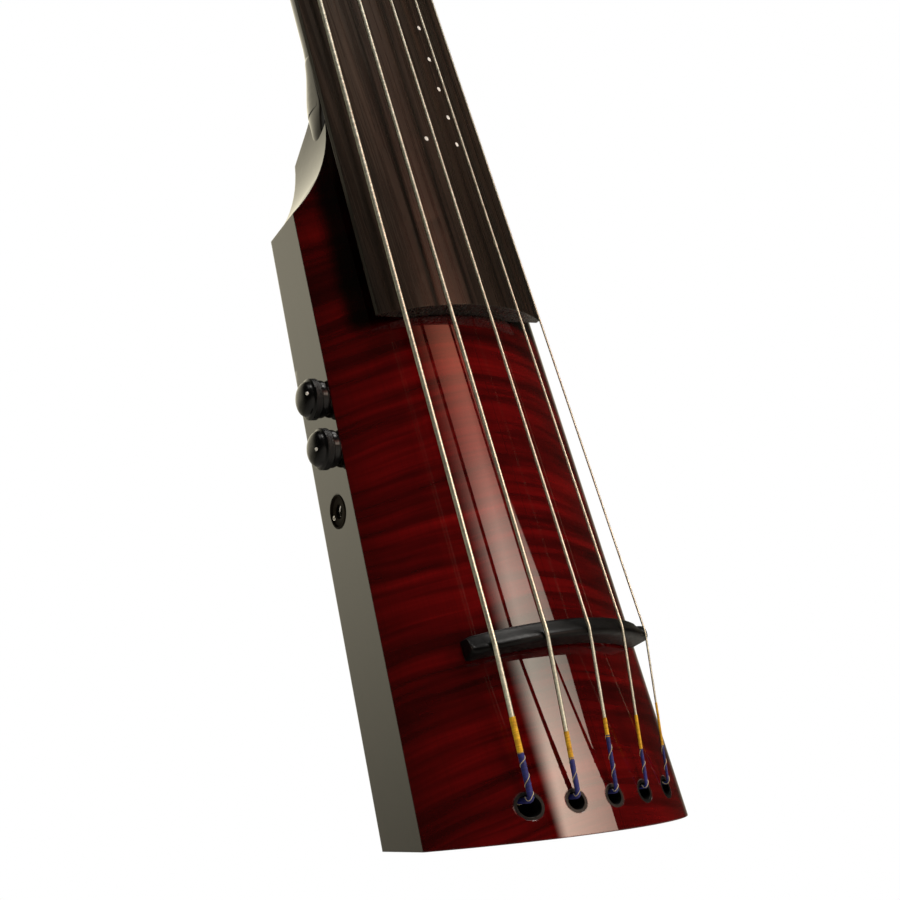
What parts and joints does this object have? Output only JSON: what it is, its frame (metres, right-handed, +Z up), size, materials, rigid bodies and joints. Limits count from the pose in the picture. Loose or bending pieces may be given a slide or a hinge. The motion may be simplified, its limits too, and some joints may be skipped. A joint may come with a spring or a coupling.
{
  "type": "electric upright double bass",
  "caption": "Slim solid-body electric upright double bass: arched red top, ebony fingerboard, arched bridge, geared tuners, side controls and stand thread.",
  "frame": {"origin": "crown of the arched top at the tail end, on the centre line", "axes": "+Z up the centre line towards the head, -Y out of the playing side, +X towards the thinnest string"},
  "size_m": [0.1716, 0.1014, 1.3128],
  "materials": {
    "red_top": "transparent red gloss over flamed maple",
    "dark_body": "near-black gloss lacquer",
    "ebony": "oiled satin",
    "black_bridge": "polished black",
    "white_inlay": "polished",
    "bone": "satin",
    "steel": "satin",
    "string_wire": "ground flat windings",
    "brass": "satin",
    "nickel": "polished nickel",
    "black_knob": "black, polished",
    "black_plastic": "fine texture",
    "circuit": "solder mask",
    "lead": "sleeving"
  },
  "bodies": {
    "instrument": {"top_plate": "red_top", "body_core": "dark_body", "neck": "dark_body", "fingerboard": "ebony", "position_dots": "white_inlay", "nut": "bone", "truss_rod": "steel", "volume_pot": "steel", "tone_pot": "steel", "pot_nuts": "steel", "cover_screws": "steel", "jack_screws": "steel", "tuner_screws": "steel", "string_b": "string_wire", "string_e": "string_wire", "string_a": "string_wire", "string_d": "string_wire", "string_g": "string_wire", "string_ball_ends": "brass", "bridge_inserts": "brass", "string_collars": "nickel", "string_ferrules": "nickel", "output_jack": "nickel", "jack_nut": "nickel", "stand_insert": "nickel", "tuner_plates": "nickel", "tuner_bushes": "nickel", "jack_cup": "black_plastic", "control_cover": "black_plastic", "preamp_board": "circuit", "wiring": "lead"},
    "bridge": {"bridge": "black_bridge", "bridge_pickups": "brass"},
    "height_screw_bass": {"bridge_screw_bass": "steel"},
    "height_screw_treble": {"bridge_screw_treble": "steel"},
    "volume_control": {"volume_knob": "black_knob", "volume_dot": "white_inlay", "volume_shaft": "steel"},
    "tone_control": {"tone_knob": "black_knob", "tone_dot": "white_inlay", "tone_shaft": "steel"},
    "key_b": {"tuner_key_b": "nickel"},
    "capstan_b": {"tuner_post_b": "nickel"},
    "key_e": {"tuner_key_e": "nickel"},
    "capstan_e": {"tuner_post_e": "nickel"},
    "key_a": {"tuner_key_a": "nickel"},
    "capstan_a": {"tuner_post_a": "nickel"},
    "key_d": {"tuner_key_d": "nickel"},
    "capstan_d": {"tuner_post_d": "nickel"},
    "key_g": {"tuner_key_g": "nickel"},
    "capstan_g": {"tuner_post_g": "nickel"}
  },
  "joints": [
    {"name": "bridge_height", "type": "slide", "parent": "instrument", "child": "bridge", "axis": [0, -1, 0], "range_m": [-0.001, 0]},
    {"name": "height_screw_bass_turn", "type": "hinge", "parent": "bridge", "child": "height_screw_bass", "pos_m": [-0.03, 0.00433, 0.09505], "axis": [0, -1, 0], "range_deg": [-451, 0.5]},
    {"name": "height_screw_treble_turn", "type": "hinge", "parent": "bridge", "child": "height_screw_treble", "pos_m": [0.03, 0.00433, 0.09505], "axis": [0, -1, 0], "range_deg": [-451, 0.5]},
    {"name": "volume_turn", "type": "hinge", "parent": "instrument", "child": "volume_control", "pos_m": [-0.07157, 0.036, 0.2346], "axis": [-0.9779, 0.199, 0.0635], "range_deg": [-150, 150]},
    {"name": "tone_turn", "type": "hinge", "parent": "instrument", "child": "tone_control", "pos_m": [-0.07326, 0.036, 0.2085], "axis": [-0.9779, 0.199, 0.0635], "range_deg": [-150, 150]},
    {"name": "key_b_turn", "type": "hinge", "parent": "instrument", "child": "key_b", "pos_m": [-0.026, 0.02884, 1.20454], "axis": [-1, 0, 0], "continuous": true},
    {"name": "capstan_b_turn", "type": "hinge", "parent": "instrument", "child": "capstan_b", "pos_m": [-0.026, 0.02084, 1.19285], "axis": [0, 0.9781, -0.2079], "continuous": true},
    {"name": "key_e_turn", "type": "hinge", "parent": "instrument", "child": "key_e", "pos_m": [-0.026, 0.03716, 1.24367], "axis": [-1, 0, 0], "continuous": true},
    {"name": "capstan_e_turn", "type": "hinge", "parent": "instrument", "child": "capstan_e", "pos_m": [-0.026, 0.02915, 1.23198], "axis": [0, 0.9781, -0.2079], "continuous": true},
    {"name": "key_a_turn", "type": "hinge", "parent": "instrument", "child": "key_a", "pos_m": [-0.026, 0.04547, 1.28279], "axis": [-1, 0, 0], "continuous": true},
    {"name": "capstan_a_turn", "type": "hinge", "parent": "instrument", "child": "capstan_a", "pos_m": [-0.026, 0.03747, 1.2711], "axis": [0, 0.9781, -0.2079], "continuous": true},
    {"name": "key_d_turn", "type": "hinge", "parent": "instrument", "child": "key_d", "pos_m": [0.026, 0.03587, 1.2376], "axis": [1, 0, 0], "continuous": true},
    {"name": "capstan_d_turn", "type": "hinge", "parent": "instrument", "child": "capstan_d", "pos_m": [0.026, 0.03331, 1.25154], "axis": [0, 0.9781, -0.2079], "continuous": true},
    {"name": "key_g_turn", "type": "hinge", "parent": "instrument", "child": "key_g", "pos_m": [0.026, 0.02755, 1.19848], "axis": [1, 0, 0], "continuous": true},
    {"name": "capstan_g_turn", "type": "hinge", "parent": "instrument", "child": "capstan_g", "pos_m": [0.026, 0.02499, 1.21241], "axis": [0, 0.9781, -0.2079], "continuous": true}
  ],
  "couplings": [
    {"joint": "height_screw_bass_turn", "follows": "bridge_height", "rad_per_m": 7854},
    {"joint": "height_screw_treble_turn", "follows": "bridge_height", "rad_per_m": 7854},
    {"joint": "capstan_b_turn", "follows": "key_b_turn", "ratio": -0.05},
    {"joint": "capstan_e_turn", "follows": "key_e_turn", "ratio": -0.05},
    {"joint": "capstan_a_turn", "follows": "key_a_turn", "ratio": -0.05},
    {"joint": "capstan_d_turn", "follows": "key_d_turn", "ratio": -0.05},
    {"joint": "capstan_g_turn", "follows": "key_g_turn", "ratio": -0.05}
  ]
}
